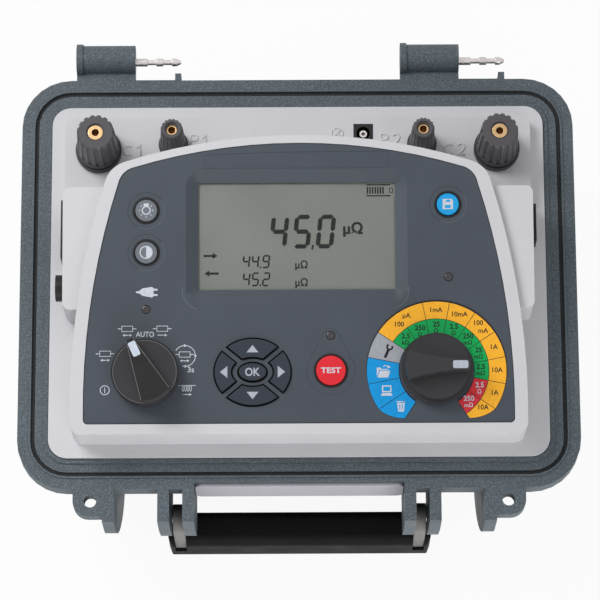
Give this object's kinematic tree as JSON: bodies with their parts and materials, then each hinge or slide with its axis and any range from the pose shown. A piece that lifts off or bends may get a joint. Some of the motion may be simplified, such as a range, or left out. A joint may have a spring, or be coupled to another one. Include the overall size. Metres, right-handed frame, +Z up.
{
  "type": "micro ohmmeter",
  "caption": "Portable low-resistance ohmmeter in a moulded carrying case, lid left off: display, keys, rotary switches, screw terminals, mains inlet and swinging handle.",
  "frame": {"origin": "centre of the resting face under the middle of the case rim", "axes": "+X to the right as seen from the handle side, +Y towards the hinges, +Z up"},
  "size_m": [0.315, 0.2801, 0.1683],
  "materials": {
    "case": "fine grain",
    "seal": "matt",
    "pale_plastic": "fine grain",
    "panel": "satin",
    "fascia": "satin",
    "pane": "clear",
    "cell": "satin",
    "print": "satin",
    "black_plastic": "satin",
    "dark_plastic": "fine grain",
    "lamp": "clear tint",
    "board": "lacquered",
    "steel": "bright",
    "gilt": "plated",
    "lead": "satin",
    "battery": "sleeved",
    "core": "varnished",
    "sink": "plain",
    "grey_key": "satin",
    "blue_key": "satin",
    "red_key": "satin",
    "pad_key": "satin",
    "knob": "satin"
  },
  "bodies": {
    "case": {"case_base": "case", "rim_seal": "seal", "front_plate": "pale_plastic", "hinge_pin_left": "steel", "hinge_pin_right": "steel", "handle_pivots": "steel", "panel_moulding": "panel", "fascia": "fascia", "display_lens": "pane", "display_module": "cell", "dial_label": "print", "button_rings": "black_plastic", "indicator_leds": "lamp", "control_board": "board", "control_screws": "steel", "function_switch": "dark_plastic", "range_switch": "dark_plastic", "main_board": "board", "board_pillars": "steel", "case_screws": "steel", "battery_pack": "battery", "power_supply": "board", "transformer": "core", "heat_sink": "sink", "mains_inlet": "black_plastic", "fuse_holder": "black_plastic", "usb_socket": "steel", "lamp_jack": "black_plastic", "lamp_jack_pin": "steel", "terminal_bases": "dark_plastic", "terminal_studs": "gilt", "terminal_nuts": "gilt", "terminal_leads": "lead"},
    "handle": {"handle_arm_left": "pale_plastic", "handle_arm_right": "pale_plastic", "handle_grip": "dark_plastic"},
    "function_knob": {"function_knob": "knob", "function_shaft": "steel"},
    "range_knob": {"range_knob": "knob", "range_shaft": "steel"},
    "light_button": {"light_button": "grey_key"},
    "contrast_button": {"contrast_button": "grey_key"},
    "save_button": {"save_button": "blue_key"},
    "test_button": {"test_button": "red_key"},
    "ok_key": {"ok_key": "pad_key"},
    "up_key": {"up_key": "pad_key"},
    "down_key": {"down_key": "pad_key"},
    "left_key": {"left_key": "pad_key"},
    "right_key": {"right_key": "pad_key"},
    "usb_cover": {"usb_cover": "seal"},
    "fuse_cap": {"fuse_cap": "black_plastic"},
    "washer_c1": {"washer_c1": "gilt"},
    "washer_p1": {"washer_p1": "gilt"},
    "washer_p2": {"washer_p2": "gilt"},
    "washer_c2": {"washer_c2": "gilt"},
    "cap_c1": {"cap_c1": "knob"},
    "cap_p1": {"cap_p1": "knob"},
    "cap_p2": {"cap_p2": "knob"},
    "cap_c2": {"cap_c2": "knob"}
  },
  "joints": [
    {"name": "handle_swing", "type": "hinge", "parent": "case", "child": "handle", "pos_m": [0, -0.126, 0.067], "axis": [-1, 0, 0], "range_deg": [-12, 90]},
    {"name": "function_turn", "type": "hinge", "parent": "case", "child": "function_knob", "pos_m": [-0.0848, -0.06142, 0.14793], "axis": [0, -0.1045, 0.9945], "range_deg": [-135, 90]},
    {"name": "range_turn", "type": "hinge", "parent": "case", "child": "range_knob", "pos_m": [0.0763, -0.05973, 0.1481], "axis": [0, -0.1045, 0.9945], "range_deg": [-45, 225]},
    {"name": "light_button_press", "type": "slide", "parent": "case", "child": "light_button", "axis": [0, 0.1045, -0.9945], "range_m": [0, 0.0012], "stiffness_N_per_m": 1500},
    {"name": "contrast_button_press", "type": "slide", "parent": "case", "child": "contrast_button", "axis": [0, 0.1045, -0.9945], "range_m": [0, 0.0012], "stiffness_N_per_m": 1500},
    {"name": "save_button_press", "type": "slide", "parent": "case", "child": "save_button", "axis": [0, 0.1045, -0.9945], "range_m": [0, 0.0012], "stiffness_N_per_m": 1500},
    {"name": "test_button_press", "type": "slide", "parent": "case", "child": "test_button", "axis": [0, 0.1045, -0.9945], "range_m": [0, 0.0012], "stiffness_N_per_m": 1500},
    {"name": "ok_key_press", "type": "slide", "parent": "case", "child": "ok_key", "axis": [0, 0.1045, -0.9945], "range_m": [0, 0.0012], "stiffness_N_per_m": 1500},
    {"name": "up_key_press", "type": "slide", "parent": "case", "child": "up_key", "axis": [0, 0.1045, -0.9945], "range_m": [0, 0.0012], "stiffness_N_per_m": 1500},
    {"name": "down_key_press", "type": "slide", "parent": "case", "child": "down_key", "axis": [0, 0.1045, -0.9945], "range_m": [0, 0.0012], "stiffness_N_per_m": 1500},
    {"name": "left_key_press", "type": "slide", "parent": "case", "child": "left_key", "axis": [0, 0.1045, -0.9945], "range_m": [0, 0.0012], "stiffness_N_per_m": 1500},
    {"name": "right_key_press", "type": "slide", "parent": "case", "child": "right_key", "axis": [0, 0.1045, -0.9945], "range_m": [0, 0.0012], "stiffness_N_per_m": 1500},
    {"name": "washer_c1_rise", "type": "slide", "parent": "case", "child": "washer_c1", "axis": [0, 0, 1], "range_m": [0, 0.00251]},
    {"name": "cap_c1_turn", "type": "hinge", "parent": "washer_c1", "child": "cap_c1", "pos_m": [-0.113, 0.0742, 0.127], "axis": [0, 0, 1], "range_deg": [0, 720]},
    {"name": "washer_p1_rise", "type": "slide", "parent": "case", "child": "washer_p1", "axis": [0, 0, 1], "range_m": [0, 0.00201]},
    {"name": "cap_p1_turn", "type": "hinge", "parent": "washer_p1", "child": "cap_p1", "pos_m": [-0.0706, 0.0776, 0.127], "axis": [0, 0, 1], "range_deg": [0, 720]},
    {"name": "washer_p2_rise", "type": "slide", "parent": "case", "child": "washer_p2", "axis": [0, 0, 1], "range_m": [0, 0.00201]},
    {"name": "cap_p2_turn", "type": "hinge", "parent": "washer_p2", "child": "cap_p2", "pos_m": [0.0706, 0.0776, 0.127], "axis": [0, 0, 1], "range_deg": [0, 720]},
    {"name": "washer_c2_rise", "type": "slide", "parent": "case", "child": "washer_c2", "axis": [0, 0, 1], "range_m": [0, 0.00251]},
    {"name": "cap_c2_turn", "type": "hinge", "parent": "washer_c2", "child": "cap_c2", "pos_m": [0.113, 0.0742, 0.127], "axis": [0, 0, 1], "range_deg": [0, 720]},
    {"name": "usb_cover_open", "type": "hinge", "parent": "case", "child": "usb_cover", "pos_m": [0.13305, 0.0264, 0.12755], "axis": [0, 1, 0], "range_deg": [0, 90]},
    {"name": "fuse_cap_turn", "type": "hinge", "parent": "case", "child": "fuse_cap", "pos_m": [-0.1312, -0.009, 0.1364], "axis": [-1, 0, 0], "range_deg": [0, 90]}
  ],
  "couplings": [
    {"joint": "washer_c1_rise", "follows": "cap_c1_turn", "m_per_rad": 0.00019894},
    {"joint": "washer_p1_rise", "follows": "cap_p1_turn", "m_per_rad": 0.00015915},
    {"joint": "washer_p2_rise", "follows": "cap_p2_turn", "m_per_rad": 0.00015915},
    {"joint": "washer_c2_rise", "follows": "cap_c2_turn", "m_per_rad": 0.00019894}
  ]
}
